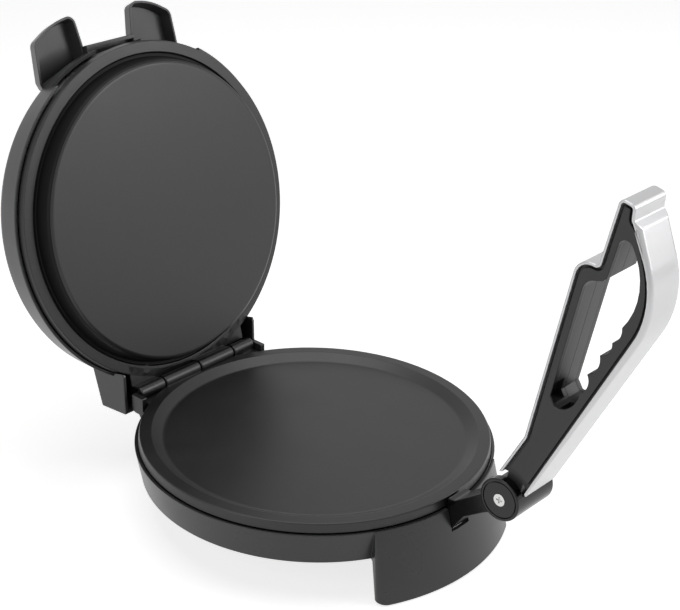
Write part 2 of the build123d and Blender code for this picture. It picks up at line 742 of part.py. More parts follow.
with BuildPart() as lid_shell:
    with BuildSketch(LID.offset(LUG_LIP)) as lug_rim:
        lug(lug_rim)
        mirror(about=Plane.YZ)
    extrude(amount=LUG_TOP - LUG_LIP, taper=LUG_TAPER)
    with BuildSketch(LID.offset(LUG_LIP)) as lug_hollow:
        lug(lug_hollow)
        offset(amount=-LUG_WALL, mode=Mode.REPLACE)
        mirror(about=Plane.YZ)
    extrude(amount=LUG_TOP - LUG_LIP - LUG_WALL, taper=LUG_TAPER, mode=Mode.SUBTRACT)
    with BuildSketch(LID_FRONT) as dome_section:
        rounded_polygon(
            dome_section,
            [
                (0, LID_RIM, 0),
                (LID_RIM_R, LID_RIM, 0),
                (LID_SHOULDER_R - 0.5, LID_CROWN - 2.5, 12),
                (60, LID_CROWN - 0.3, 0),
                (0, LID_CROWN, 0),
            ],
        )
    revolve(axis=LID_AXIS)
    # A straight bar closes the front between the lugs.
    with BuildSketch(LID_SIDE) as saddle_bar:
        rounded_polygon(
            saddle_bar,
            [
                (SADDLE_BAR_Y, SADDLE_RIM, 0),
                (SADDLE_BAR_Y + 1.6, SADDLE_BAR_TOP, 1.5),
                (-134, SADDLE_BAR_TOP, 0),
                (-134, SADDLE_RIM, 0),
            ],
        )
    extrude(amount=LUG_INNER - 1.5, both=True)
    with BuildSketch(LID_SIDE) as housing_section:
        rounded_polygon(
            housing_section,
            [
                (113, LID_RIM, 0),
                (117.5, PAN_TOP + 5, 0),
                (121, PAN_TOP + 4, 0),
                (HOUSING_BACK, PAN_TOP + 10.5, 0),
                (HOUSING_BACK - 4.5, PAN_TOP + 39.8, 1.5),
                (113, PAN_TOP + 43, 0),
            ],
        )
    extrude(amount=HOUSING_HALF, both=True)
    with BuildSketch(LID_FRONT) as dome_hollow:
        rounded_polygon(
            dome_hollow,
            [
                (0, LID_RIM - 30, 0),
                (LID_PLATE_R + 1.5, LID_RIM - 30, 0),
                (LID_PLATE_R + 1.5, LID_RIM, 0),
                (LID_SHOULDER_R - WALL - 0.5, LID_CROWN - WALL - 2.5, 9.5),
                (60, LID_CROWN - WALL - 0.3, 0),
                (0, LID_CROWN - WALL, 0),
            ],
        )
    revolve(axis=LID_AXIS, mode=Mode.SUBTRACT)
    with BuildSketch(LID_SIDE) as housing_hollow:
        rounded_polygon(
            housing_hollow,
            [
                (100, PAN_TOP - 5, 0),
                (HOUSING_BACK - 1.1, PAN_TOP - 5, 0),
                (HOUSING_BACK - 7, PAN_TOP + 37.2, 1),
                (112, PAN_TOP + 40.4, 0),
                (100, PAN_TOP + 40.4, 0),
            ],
        )
    extrude(amount=HOUSING_HALF - WALL, both=True, mode=Mode.SUBTRACT)
    # The rim is higher at the front, and higher again between the lugs.
    with BuildSketch(LID.offset(LID_RIM)):
        with Locations((0, -125)):
            Rectangle(151, 40)
    extrude(amount=FRONT_RIM - LID_RIM, mode=Mode.SUBTRACT)
    with BuildSketch(LID.offset(FRONT_RIM)):
        with Locations((0, -125)):
            Rectangle(2 * SADDLE_HALF, 40)
    extrude(amount=SADDLE_RIM - FRONT_RIM, mode=Mode.SUBTRACT)
    with BuildSketch(LID.offset(SADDLE_RIM)):
        with Locations((0, -130)):
            Rectangle(2 * SADDLE_HALF, -2 * (SADDLE_BAR_Y + SADDLE_BAR_WALL + 130))
    extrude(amount=SADDLE_BAR_TOP - SADDLE_BAR_WALL - SADDLE_RIM, mode=Mode.SUBTRACT)
    # Screw posts at the back, bearing posts and hooks at the front.
    with BuildSketch(LID.offset(RING_BACK)):
        with Locations(*TAB_SCREWS):
            Circle(4.8)
            Circle(1.7, mode=Mode.SUBTRACT)
    extrude(amount=LUG_LIP + 6 - RING_BACK)
    with BuildSketch(LID.offset(UPPER_SHIELD_Z + SHEET)):
        with Locations(*LID_POSTS):
            Circle(5)
    extrude(amount=LID_CROWN - WALL / 2 - UPPER_SHIELD_Z - SHEET)
    with BuildSketch(LID.offset(HOOK_Z)):
        for angle in HOOK_ANGLES:
            with Locations(Location(polar(136.5, angle), angle)):
                Rectangle(8, 6)
    extrude(amount=3)
    with BuildSketch(LID.offset(LID_CROWN)):
        with Locations(*LENSES):
            Circle(LENS_R + 0.1)
    extrude(amount=-8, mode=Mode.SUBTRACT)
export("lid_shell", lid_shell)

with BuildPart() as lamp_holder:
    with BuildSketch(LID.offset(LID_CROWN - 11)):
        with Locations((0, -85)):
            Rectangle(90, 13)
    extrude(amount=1.5)
    with BuildSketch(LID.offset(LID_CROWN - 9.5)):
        with Locations(*LENSES):
            Circle(5)
            Circle(3.6, mode=Mode.SUBTRACT)
    extrude(amount=3.5)
    with BuildSketch(LID.offset(LID_CROWN - 9.5)):
        with Locations((0, -85)):
            Rectangle(12, 8)
    extrude(amount=5.8)
export("lamp_holder", lamp_holder)

for name, place in zip(("power_lens", "ready_lens"), LENSES):
    with BuildPart() as lens:
        with BuildSketch(LID.offset(LID_CROWN - 5.5)):
            with Locations(place):
                Circle(LENS_R)
        extrude(amount=6)
        fillet(lens.faces().sort_by(Axis(LID.origin, LID.z_dir))[-1].edges(), radius=0.8)
    export(name, lens)

with BuildPart() as upper_thermostat:
    with BuildSketch(LID.offset(UPPER_BACK)):
        with Locations((0, 40)):
            Circle(9)
    extrude(amount=5)
    with BuildSketch(LID.offset(UPPER_BACK + 5)):
        with Locations((0, 40)):
            Circle(7)
    extrude(amount=4)
export("upper_thermostat", upper_thermostat)

# ---- lever: silver cover round two dark halves that meet at X = 0 ----
NECK_HALF = 14.7
HALF_WALL = 2.5
POCKET_IN = 4.0
LEVER_SCREWS = [(60, -13), (139.6, -44.2), (244, -26.4)]


def lever_outline(sketch, heel, root, inset):
    """Draw the lever from the side. heel is its corner behind the grip, root its end at the pivot."""
    rounded_polygon(
        sketch,
        [
            (0, root, 0),
            (0, 14.3, 0),
            (58, -3, 12),
            (205.9, -3, 12.5),
            (206.9, -18.7, 2.4),
            (257.9, -19.7, 4.5),
            (257.4, -31.9, 4.5),
            (247.6, -33.4, 2.5),
            (244, -39.2, 4),
            (*heel, 70),
        ],
    )
    if inset:
        offset(amount=-inset, mode=Mode.REPLACE)


def grip_opening():
    """Draw the grip opening: straight in front, four finger scallops behind."""
    with BuildLine() as outline:
        Polyline((95.6, -25.6), (93.6, -21.3), (93.6, -17.6), (98.9, -12.4), (185.8, -12.4))
        ThreePointArc((185.8, -12.4), (192.1, -14.7), (195.9, -20.2))
        Polyline((195.9, -20.2), (198.1, -24.7), (201.3, -27), (226, -27.7))
        ThreePointArc((226, -27.7), (232.2, -31), (231.4, -36.8))
        ThreePointArc((231.4, -36.8), (204.9, -50.8), (175, -47.2))
        ThreePointArc((175, -47.2), (167.4, -47.8), (161.4, -43.9))
        ThreePointArc((161.4, -43.9), (153.6, -43.8), (147.9, -38.3))
        ThreePointArc((147.9, -38.3), (137.7, -39.4), (129.9, -33.8))
        ThreePointArc((129.9, -33.8), (121.8, -36.6), (114.1, -32.8))
        ThreePointArc((114.1, -32.8), (104.5, -31.6), (95.6, -25.6))
    make_face(outline.edges())


with BuildPart() as lever_cover:
    with BuildSketch(LEVER) as cover_outline:
        lever_outline(cover_outline, (195.9, -69), -13.5, 0)
    extrude(amount=LEVER_HALF, both=True)
    fillet(
        lever_cover.edges().filter_by(
            lambda e: abs(abs(e.center().X) - LEVER_HALF) < 0.01
            and LEVER.to_local_coords(e.center()).Y < -36
        ),
        radius=BACK_ROUND,
    )
    with BuildSketch(LEVER) as cover_inside:
        lever_outline(cover_inside, (198.7, -67.2), -13.7, BAND)
    extrude(amount=LEVER_HALF, both=True, mode=Mode.SUBTRACT)
    with BuildSketch(LEVER):
        Circle(LEVER_CLEAR_R)
    extrude(amount=30, both=True, mode=Mode.SUBTRACT)
export("lever_cover", lever_cover)

for name, side in (("lever_half_left", 1), ("lever_half_right", -1)):
    with BuildPart() as lever_half:
        with BuildSketch(LEVER) as half_outline:
            lever_outline(half_outline, (198.7, -67.2), -13.7, BAND + 0.05)
        extrude(amount=side * HALF_FACE)
        with BuildSketch(LEVER.offset(side * HALF_FACE)) as face_outline:
            lever_outline(face_outline, (198.7, -67.2), -13.7, BAND + GROOVE)
            Circle(FACE_CLEAR_R, mode=Mode.SUBTRACT)
        extrude(amount=side * (HALF_RAISED - HALF_FACE))
        # Hollow inside, with walls along the outline and round the grip opening.
        with BuildSketch(LEVER) as hollow_outline:
            lever_outline(hollow_outline, (198.7, -67.2), -13.7, BAND + HALF_WALL)
            Circle(LEVER_CLEAR_R + HALF_WALL, mode=Mode.SUBTRACT)
            with Locations(*LEVER_SCREWS):
                Circle(4.2, mode=Mode.SUBTRACT)
            with BuildSketch(mode=Mode.SUBTRACT):
                grip_opening()
                offset(amount=HALF_WALL, kind=Kind.INTERSECTION, mode=Mode.REPLACE)
        extrude(amount=side * (HALF_FACE - HALF_WALL), mode=Mode.SUBTRACT)
        with BuildSketch(LEVER):
            grip_opening()
        extrude(amount=side * 30, mode=Mode.SUBTRACT)
        # Two pockets at the lower end of the opening, with a rib between them.
        if side > 0:
            with BuildSketch(LEVER.offset(POCKET_IN)):
                with Locations((101.5, -12.5)):
                    Rectangle(15, 8)
                with Locations((95.5, -26)):
                    Rectangle(11, 9)
            extrude(amount=HALF_FACE - 0.6 - POCKET_IN, mode=Mode.SUBTRACT)
        with BuildSketch(LEVER):
            Circle(LEVER_CLEAR_R)
        extrude(amount=side * 30, mode=Mode.SUBTRACT)
        # Neck and knuckle between the ears.
        with BuildSketch(LEVER):
            Circle(KNUCKLE_R)
            with Locations((12, -4)):
                Rectangle(24, 14)
        extrude(amount=side * NECK_HALF)
        with BuildSketch(LEVER):
            Circle(BUSH_R + 0.02)
            with Locations(*LEVER_SCREWS):
                Circle(1.5)
        extrude(amount=side * (NECK_HALF + 1), mode=Mode.SUBTRACT)
        if side < 0:
            with BuildSketch(LEVER.offset(-8)):
                with Locations(*LEVER_SCREWS):
                    Circle(3)
            extrude(amount=-20, mode=Mode.SUBTRACT)
    export(name, lever_half)

with BuildPart() as lever_bushing:
    with BuildSketch(LEVER):
        Circle(BUSH_R)
        Circle(BOLT_R + RUN_CLEARANCE, mode=Mode.SUBTRACT)
    extrude(amount=NECK_HALF + 0.1, both=True)
export("lever_bushing", lever_bushing)

with BuildPart() as lever_screws:
    with BuildSketch(LEVER.offset(-8)):
        with Locations(*LEVER_SCREWS):
            Circle(2.8)
    extrude(amount=-2)
    with BuildSketch(LEVER.offset(-8)):
        with Locations(*LEVER_SCREWS):
            Circle(1.48)
    extrude(amount=20)
export("lever_screws", lever_screws)
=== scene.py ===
import json
from math import copysign, cos, pi, radians, sin, tan

import bpy
from mathutils import Matrix, Vector


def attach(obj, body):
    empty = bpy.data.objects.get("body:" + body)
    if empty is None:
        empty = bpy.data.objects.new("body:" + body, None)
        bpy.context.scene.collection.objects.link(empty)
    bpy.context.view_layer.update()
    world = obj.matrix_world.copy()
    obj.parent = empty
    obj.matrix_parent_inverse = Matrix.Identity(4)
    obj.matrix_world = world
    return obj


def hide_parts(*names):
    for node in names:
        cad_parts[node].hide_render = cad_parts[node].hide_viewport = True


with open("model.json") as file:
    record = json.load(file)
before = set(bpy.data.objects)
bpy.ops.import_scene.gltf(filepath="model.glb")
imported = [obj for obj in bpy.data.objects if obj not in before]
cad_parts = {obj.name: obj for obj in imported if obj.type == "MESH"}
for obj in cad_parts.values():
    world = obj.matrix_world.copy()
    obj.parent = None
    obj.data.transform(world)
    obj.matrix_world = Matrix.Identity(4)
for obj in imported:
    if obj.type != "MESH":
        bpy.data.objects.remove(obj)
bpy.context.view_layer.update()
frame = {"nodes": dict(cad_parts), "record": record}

# Lengths in the outlines below are millimetres in the frame's axes; meshes are made in metres.
MM = 0.001

# ---- driving dimensions, the same as the source's ----
PAN_TOP = 65.0
PLATE_R = 140.0
FLOOR_R = 121.0
PAN_DEPTH = 5.0
UNDER_Z = 55.0
RIB_Z = 48.0
ELEMENT_R = 85.0
TUBE_R = 4.0
FLANGE_Z = 33.0
LOWER_BOSS_Z = 44.0
NOTCH_BASE = PAN_TOP - 26
SHELL_R = 144.0
SHELL_FOOT_R = 139.0
SHELL_RIM = PAN_TOP - 8
SHELL_BASE = 30.5
WALL = 2.5
POST_INNER = 66.6
POST_OUTER = 71.4
POST_TOP = PAN_TOP + 3.5
POST_BASE = PAN_TOP - 12.3
APRON_TOP_R = 144.6
APRON_FOOT_R = 159.5
APRON_HALF_ANGLE = 30.0
APRON_FOOT_Z = 1.0
APRON_WALL = 3.0
HINGE_Y = 138.0
HINGE_Z = PAN_TOP + 2.5
BARREL_R = 5.2
KNUCKLES = [-65.6, -38.4, 2.0, 41.3, 65.6]
UPPER_KNUCKLES = [(KNUCKLES[0], KNUCKLES[1]), (KNUCKLES[2], KNUCKLES[3])]
LOWER_KNUCKLES = [(KNUCKLES[1], KNUCKLES[2]), (KNUCKLES[3], KNUCKLES[4])]
END_GAP = 0.7
RELIEF_R = BARREL_R + 0.6
LID_OPEN = 103.2
LID_RING = PAN_TOP + 10
RING_BACK = LID_RING + 5
UPPER_BACK = PAN_TOP + 2.5
UPPER_SHIELD_Z = PAN_TOP + 19
TAB_SCREWS = [(-45.85, 124.2), (45.85, 124.2)]
LENSES = [(-36, -85), (36, -85)]
PRESS_FACE = PAN_TOP - 2.5
PRESS_R = 124.0
PRESS_ROOT_R = 126.8
LID_PLATE_R = 139.0
LID_RIM = PAN_TOP + 16
LID_RIM_R = 143.0
LID_SHOULDER_R = 137.8
LID_CROWN = PAN_TOP + 50
LUG_LIP = PAN_TOP + 40
LUG_TOP = PAN_TOP + 52
LUG_INNER = 27.0
LUG_OUTER = 73.0
LUG_TAPER = 17.0
LUG_WALL = 2.2
HOUSING_HALF = 76.0
HOUSING_BACK = 154.6
PIVOT_Y = -196.2
PIVOT_Z = PAN_TOP + 28.3
EAR_R = 16.7
EAR_OUT = 21.75
EAR_IN = 15.0
TROUGH_R = 14.6
ARM_HALF = 10.0
LEVER_LEAN = 10.9
LEVER_HALF = 18.3
BAND = 2.0
HALF_FACE = 14.6
HALF_RAISED = 17.6
GROOVE = 2.1
KNUCKLE_R = 13.8
LEVER_CLEAR_R = 21.5
FACE_CLEAR_R = 27.5
LEVER_SCREWS = [(60, -13), (139.6, -44.2), (244, -26.4)]


def polar(radius, angle):
    """A point on a circle about the pan's axis; the angle is from the front, towards +X."""
    return (radius * sin(radians(angle)), -radius * cos(radians(angle)))


PLATE_SCREWS = [polar(112, angle) for angle in (45, 135, 225, 315)]
COVER_SCREWS = [polar(130.5, angle) for angle in (45, 135, 225, 315)]
FRONT_FEET = [polar(147.5, angle) for angle in (22, -22)]

# ---- places: matrices from a piece's own drawing to the frame ----
WORLD = Matrix.Identity(4)
AT_HINGE = Matrix.Translation((0, HINGE_Y, HINGE_Z))
LID = AT_HINGE @ Matrix.Rotation(radians(-LID_OPEN), 4, "X") @ AT_HINGE.inverted()
# Side views: drawing x is +Y and drawing y is +Z, so that a slab grows along +X.
SIDE = Matrix(((0, 0, 1, 0), (1, 0, 0, 0), (0, 1, 0, 0), (0, 0, 0, 1)))
PIVOT_SIDE = Matrix.Translation((0, PIVOT_Y, PIVOT_Z)) @ SIDE
HINGE_SIDE = AT_HINGE @ SIDE
# The lever's drawing: x from the pivot to the tip, y towards the pan, its slabs grow along -X.
lean = radians(LEVER_LEAN)
LEVER = Matrix.Translation((0, PIVOT_Y, PIVOT_Z)) @ Matrix(
    ((0, 0, -1, 0), (-sin(lean), cos(lean), 0, 0), (cos(lean), sin(lean), 0, 0), (0, 0, 0, 1))
)


# ---- outlines ----
def rounded(corners, closed=True, steps=8):
    """Points of a polygon whose corners, each x, y and radius, are rounded by arcs."""
    points = []
    last = len(corners) - 1
    for i, (x, y, radius) in enumerate(corners):
        here = Vector((x, y))
        if not radius or (not closed and i in (0, last)):
            points.append(here)
            continue
        before = (Vector(corners[i - 1][:2]) - here).normalized()
        after = (Vector(corners[(i + 1) % len(corners)][:2]) - here).normalized()
        half = before.angle(after) / 2
        centre = here + (before + after).normalized() * (radius / sin(half))
        start = here + before * (radius / tan(half)) - centre
        turn = copysign(pi - 2 * half, after.cross(before))
        for k in range(steps + 1):
            points.append(centre + Matrix.Rotation(turn * k / steps, 2) @ start)
    return points


def inset(corners, distance):
    """The rounded polygon with every side moved inward by a distance."""
    area = sum(a[0] * b[1] - b[0] * a[1] for a, b in zip(corners, corners[1:] + corners[:1]))
    side = copysign(1, area)
    moved = []
    for i, (x, y, radius) in enumerate(corners):
        here = Vector((x, y))
        along = (here - Vector(corners[i - 1][:2])).normalized()
        onward = (Vector(corners[(i + 1) % len(corners)][:2]) - here).normalized()
        normal_a = Vector((-along.y, along.x)) * side
        normal_b = Vector((-onward.y, onward.x)) * side
        place = here + (normal_a + normal_b) * (distance / (1 + normal_a.dot(normal_b)))
        grown = radius - copysign(distance, along.cross(onward) * side)
        moved.append((place.x, place.y, max(grown, 0.05) if radius else 0))
    return moved


def outside_circle(points, radius):
    """The closed outline with the part inside a circle about its origin replaced by the circle."""
    count = len(points)
    inside = [p.length < radius for p in points]
    first = next(i for i in range(count) if inside[i - 1] and not inside[i])
    kept = [points[(first + k) % count] for k in range(count) if not inside[(first + k) % count]]

    def crossing(inner, outer):
        low, high = 0.0, 1.0
        for _ in range(40):
            middle = (low + high) / 2
            if inner.lerp(outer, middle).length < radius:
                low = middle
            else:
                high = middle
        return inner.lerp(outer, low)

    start = crossing(points[first - 1], points[first])
    after_last = points[(points.index(kept[-1]) + 1) % count]
    end = crossing(after_last, kept[-1])
    turn = end.angle_signed(start)
    arc = [Matrix.Rotation(-turn * k / 24, 2) @ end for k in range(25)]
    return [start, *kept, *arc[:-1]]


def arc_through(start, middle, end, steps=8):
    """Points of the circle arc through three points, the start left out."""
    ax, ay = start
    bx, by = middle
    cx, cy = end
    d = 2 * (ax * (by - cy) + bx * (cy - ay) + cx * (ay - by))
    sa, sb, sc = ax * ax + ay * ay, bx * bx + by * by, cx * cx + cy * cy
    centre = Vector((
        (sa * (by - cy) + sb * (cy - ay) + sc * (ay - by)) / d,
        (sa * (cx - bx) + sb * (ax - cx) + sc * (bx - ax)) / d,
    ))
    first = Vector(start) - centre
    turn = -first.angle_signed(Vector(middle) - centre) - (Vector(middle) - centre).angle_signed(
        Vector(end) - centre
    )
    return [centre + Matrix.Rotation(turn * k / steps, 2) @ first for k in range(1, steps + 1)]


# ---- meshes ----
def new_piece(name, verts, faces, place=WORLD, sharp=40):
    """A mesh object from millimetre points in the drawing of a place."""
    mesh = bpy.data.meshes.new(name)
    mesh.from_pydata([place @ Vector(v) for v in verts], [], faces)
    mesh.transform(Matrix.Scale(MM, 4))
    obj = bpy.data.objects.new(name, mesh)
    bpy.context.scene.collection.objects.link(obj)
    tidy(obj, sharp)
    return obj


def tidy(obj, sharp=40):
    """Merge doubled points, turn the faces outward, and shade smooth up to an angle."""
    import bmesh

    mesh = bmesh.new()
    mesh.from_mesh(obj.data)
    bmesh.ops.remove_doubles(mesh, verts=mesh.verts, dist=1e-6)
    bmesh.ops.recalc_face_normals(mesh, faces=mesh.faces)
    mesh.to_mesh(obj.data)
    mesh.free()
    obj.data.shade_smooth()
    obj.data.set_sharp_from_angle(angle=radians(sharp))


def spin(name, profile, place=WORLD, segments=256, start=0, sweep=360, sharp=40):
    """Turn a closed profile of (radius, height) points about the place's Z axis."""
    whole = sweep == 360
    rings = segments if whole else segments + 1
    verts = []
    for k in range(rings):
        angle = radians(start + sweep * k / segments)
        verts += [(r * cos(angle), r * sin(angle), z) for r, z in profile]
    count = len(profile)
    faces = []
    on_axis = [abs(point[0]) < 1e-6 for point in profile]
    for k in range(segments):
        a, b = k * count, ((k + 1) % rings) * count
        faces += [(a + i, a + (i + 1) % count, b + (i + 1) % count, b + i)
                  for i in range(count) if not (on_axis[i] and on_axis[(i + 1) % count])]
    if not whole:
        faces += [tuple(range(count)), tuple(range((rings - 1) * count, rings * count))]
    return new_piece(name, verts, faces, place, sharp)


def loft(name, rings, place=WORLD, sharp=40, closed=True, capped=True):
    """Join rings of equal count, each a list of points, into one skin."""
    count = len(rings[0])
    verts = [tuple(p) for ring in rings for p in ring]
    faces = []
    for k in range(len(rings) - 1):
        a, b = k * count, (k + 1) * count
        stop = count if closed else count - 1
        faces += [(a + i, a + (i + 1) % count, b + (i + 1) % count, b + i) for i in range(stop)]
    if capped:
        faces += [tuple(range(count)), tuple(range(len(verts) - count, len(verts)))]
    return new_piece(name, verts, faces, place, sharp)


def slab(name, loops, low, high, place=WORLD, bevel=0.0, sharp=40):
    """A plate between two heights; the first loop is its outline, the others are its holes."""
    curve = bpy.data.curves.new(name, "CURVE")
    curve.dimensions = "2D"
    curve.fill_mode = "BOTH"
    curve.extrude = ((high - low) / 2 - bevel) * MM
    curve.bevel_depth = bevel * MM
    curve.offset = -bevel * MM
    curve.bevel_resolution = 3
    for loop in loops:
        line = curve.splines.new("POLY")
        line.points.add(len(loop) - 1)
        for point, (x, y) in zip(line.points, loop):
            point.co = (x * MM, y * MM, 0, 1)
        line.use_cyclic_u = True
    draft = bpy.data.objects.new(name, curve)
    bpy.context.scene.collection.objects.link(draft)
    mesh = bpy.data.meshes.new_from_object(draft)
    bpy.data.objects.remove(draft)
    mesh.transform(Matrix.Translation((0, 0, (high + low) / 2 * MM)))
    mesh.transform(Matrix.Translation(place.translation * MM) @ place.to_3x3().to_4x4())
    obj = bpy.data.objects.new(name, mesh)
    bpy.context.scene.collection.objects.link(obj)
    tidy(obj, sharp)
    return obj


def block(name, low, high, place=WORLD):
    """A plain cutter box between two corners."""
    (x0, y0, z0), (x1, y1, z1) = low, high
    outline = [(x0, y0), (x1, y0), (x1, y1), (x0, y1)]
    return loft(name, [[(x, y, z0) for x, y in outline], [(x, y, z1) for x, y in outline]], place)


def rod(name, radius, low, high, place=WORLD, segments=64, bevel=0.0):
    """A cylinder along the place's Z axis."""
    profile = rounded([(0, low, 0), (radius, low, bevel), (radius, high, bevel), (0, high, 0)], steps=3)
    return spin(name, profile, place, segments)


def barrel(name, low, high, place):
    """A hinge knuckle, a tube with softened ends."""
    profile = rounded([(2.05, low, 0), (BARREL_R, low, 1.1), (BARREL_R, high, 1.1), (2.05, high, 0)], steps=5)
    return spin(name, profile, place, 64)


def cut(obj, *tools):
    """Take the tools out of the object."""
    for tool in tools:
        boolean(obj, tool, "DIFFERENCE")


def boolean(obj, tool, operation):
    modifier = obj.modifiers.new("boolean", "BOOLEAN")
    modifier.operation = operation
    modifier.solver = "EXACT"
    modifier.object = tool
    bake(obj)
    bpy.data.objects.remove(tool)


def bake(obj):
    """Replace the object's mesh by the result of its modifiers."""
    bpy.context.view_layer.update()
    depsgraph = bpy.context.evaluated_depsgraph_get()
    mesh = bpy.data.meshes.new_from_object(obj.evaluated_get(depsgraph))
    obj.modifiers.clear()
    obj.data = mesh


def join(name, parts, sharp=40):
    """One object from several."""
    with bpy.context.temp_override(active_object=parts[0], selected_editable_objects=parts):
        bpy.ops.object.join()
    parts[0].name = name
    parts[0].data.set_sharp_from_angle(angle=radians(sharp))
    weighted = parts[0].modifiers.new("flat faces stay flat", "WEIGHTED_NORMAL")
    weighted.keep_sharp = True
    weighted.weight = 80
    return parts[0]


# ---- materials ----
def material(name, colour, roughness, metallic=0.0, coat=0.0, specular=0.5, edge=0.4,
             speck=0.0, speck_size=0.4, grain=0.0, grain_size=0.3, mottle=0.0):
    """Moulded or coated surface: soft edges, a fine grain, specks in the colour and uneven gloss."""
    made = bpy.data.materials.new(name)
    made.use_nodes = True
    nodes, links = made.node_tree.nodes, made.node_tree.links
    shader = nodes["Principled BSDF"]
    shader.inputs["Base Color"].default_value = (*colour, 1)
    shader.inputs["Roughness"].default_value = roughness
    shader.inputs["Metallic"].default_value = metallic
    shader.inputs["Coat Weight"].default_value = coat
    shader.inputs["Coat Roughness"].default_value = 0.08
    shader.inputs["Specular IOR Level"].default_value = specular
    place = nodes.new("ShaderNodeTexCoord").outputs["Object"]

    def noise(size, detail=2.0):
        node = nodes.new("ShaderNodeTexNoise")
        node.inputs["Scale"].default_value = 1 / (size * MM)
        node.inputs["Detail"].default_value = detail
        links.new(place, node.inputs["Vector"])
        return node.outputs["Fac"]

    def spread(value, low, high):
        node = nodes.new("ShaderNodeMapRange")
        node.inputs["From Min"].default_value = 0.3
        node.inputs["From Max"].default_value = 0.7
        node.inputs["To Min"].default_value = low
        node.inputs["To Max"].default_value = high
        links.new(value, node.inputs["Value"])
        return node.outputs["Result"]

    if speck:
        tint = nodes.new("ShaderNodeMix")
        tint.data_type = "RGBA"
        tint.inputs["A"].default_value = (*[c * (1 - speck) for c in colour], 1)
        tint.inputs["B"].default_value = (*[min(1, c * (1 + speck)) for c in colour], 1)
        links.new(spread(noise(speck_size, 3), 0, 1), tint.inputs["Factor"])
        links.new(tint.outputs["Result"], shader.inputs["Base Color"])
    if mottle:
        links.new(spread(noise(40, 4), roughness - mottle, roughness + mottle), shader.inputs["Roughness"])
    normal = None
    if edge:
        soft = nodes.new("ShaderNodeBevel")
        soft.samples = 4
        soft.inputs["Radius"].default_value = edge * MM
        normal = soft.outputs["Normal"]
    if grain:
        bump = nodes.new("ShaderNodeBump")
        bump.inputs["Strength"].default_value = grain
        bump.inputs["Distance"].default_value = 0.05 * MM
        links.new(noise(grain_size, 2), bump.inputs["Height"])
        if normal:
            links.new(normal, bump.inputs["Normal"])
        normal = bump.outputs["Normal"]
    if normal:
        links.new(normal, shader.inputs["Normal"])
    return made


FINISHES = {
    "base_plastic": material("base_plastic", (0.026, 0.026, 0.027), 0.30, grain=0.15, mottle=0.04),
    "lid_plastic": material("lid_plastic", (0.055, 0.055, 0.056), 0.33, grain=0.12, mottle=0.04),
    "cover_plastic": material("cover_plastic", (0.020, 0.020, 0.020), 0.55, grain=0.4),
    "rubber": material("rubber", (0.018, 0.018, 0.018), 0.8, grain=0.5, grain_size=0.5),
    "nonstick": material("nonstick", (0.008, 0.008, 0.008), 0.36, specular=0.58, speck=0.5, speck_size=0.7,
                         grain=0.35, grain_size=0.7, mottle=0.03),
    # Painted shade: a darker, less glossy copy of the non-stick coating, for the press plate's edge slope and
    # groove.
    "painted_shade_slope": material(
        "painted_shade_slope", (0.008, 0.008, 0.008), 0.45, specular=0.16, grain=0.3, grain_size=0.7,
    ),
    "element_steel": material("element_steel", (0.16, 0.13, 0.11), 0.45, metallic=1, speck=0.3, speck_size=3),
    "shield_metal": material("shield_metal", (0.72, 0.72, 0.73), 0.28, metallic=1, edge=0, grain=0.1,
                             grain_size=1.5, mottle=0.08),
    "screw_steel": material("screw_steel", (0.55, 0.55, 0.54), 0.3, metallic=1, mottle=0.05),
    "black_screws": material("black_screws", (0.035, 0.035, 0.035), 0.3, metallic=0.6),
    "pin_steel": material("pin_steel", (0.62, 0.62, 0.61), 0.22, metallic=1, mottle=0.05),
    "bracket_black": material(
        "bracket_black", (0.004, 0.004, 0.004), 0.2, specular=0.4, grain=0.05, mottle=0.03,
    ),
    "lever_silver": material("lever_silver", (0.72, 0.72, 0.73), 0.32, metallic=0.55, coat=0.15, speck=0.03,
                             speck_size=0.25, grain=0.05, grain_size=0.25),
    "lever_dark": material("lever_dark", (0.026, 0.026, 0.027), 0.42, grain=0.3, grain_size=0.35),
    "power_red": material("power_red", (0.45, 0.01, 0.01), 0.12, coat=0.5, edge=0),
    "ready_green": material("ready_green", (0.01, 0.30, 0.04), 0.12, coat=0.5, edge=0),
    "electric": material("electric", (0.62, 0.58, 0.52), 0.6, speck=0.06, speck_size=1.5),
}


def dress(obj, slot, body, *replaced):
    """Give a new piece its finish, the body it moves with, and the CAD nodes that it stands for."""
    obj.data.materials.clear()
    obj.data.materials.append(FINISHES[slot])
    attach(obj, body)
    if replaced:
        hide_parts(*replaced)
    return obj


def paint_shade_faces(obj, finish, place, picked):
    """Give the faces whose middle passes a test, in the place's millimetres, another material; here a darker,
    less glossy copy of the coating that paints shade.
    """
    obj.data.materials.append(finish)
    into = (Matrix.Translation(place.translation * MM) @ place.to_3x3().to_4x4()).inverted()
    for face in obj.data.polygons:
        if picked(into @ face.center / MM, into.to_3x3() @ face.normal):
            face.material_index = len(obj.data.materials) - 1


SLOT_OF = {entry["node"]: entry["material_slot"] for entry in frame["record"]["subparts"]}
for node_name, node in frame["nodes"].items():
    node.data.materials.clear()
    node.data.materials.append(FINISHES[SLOT_OF[node_name]])


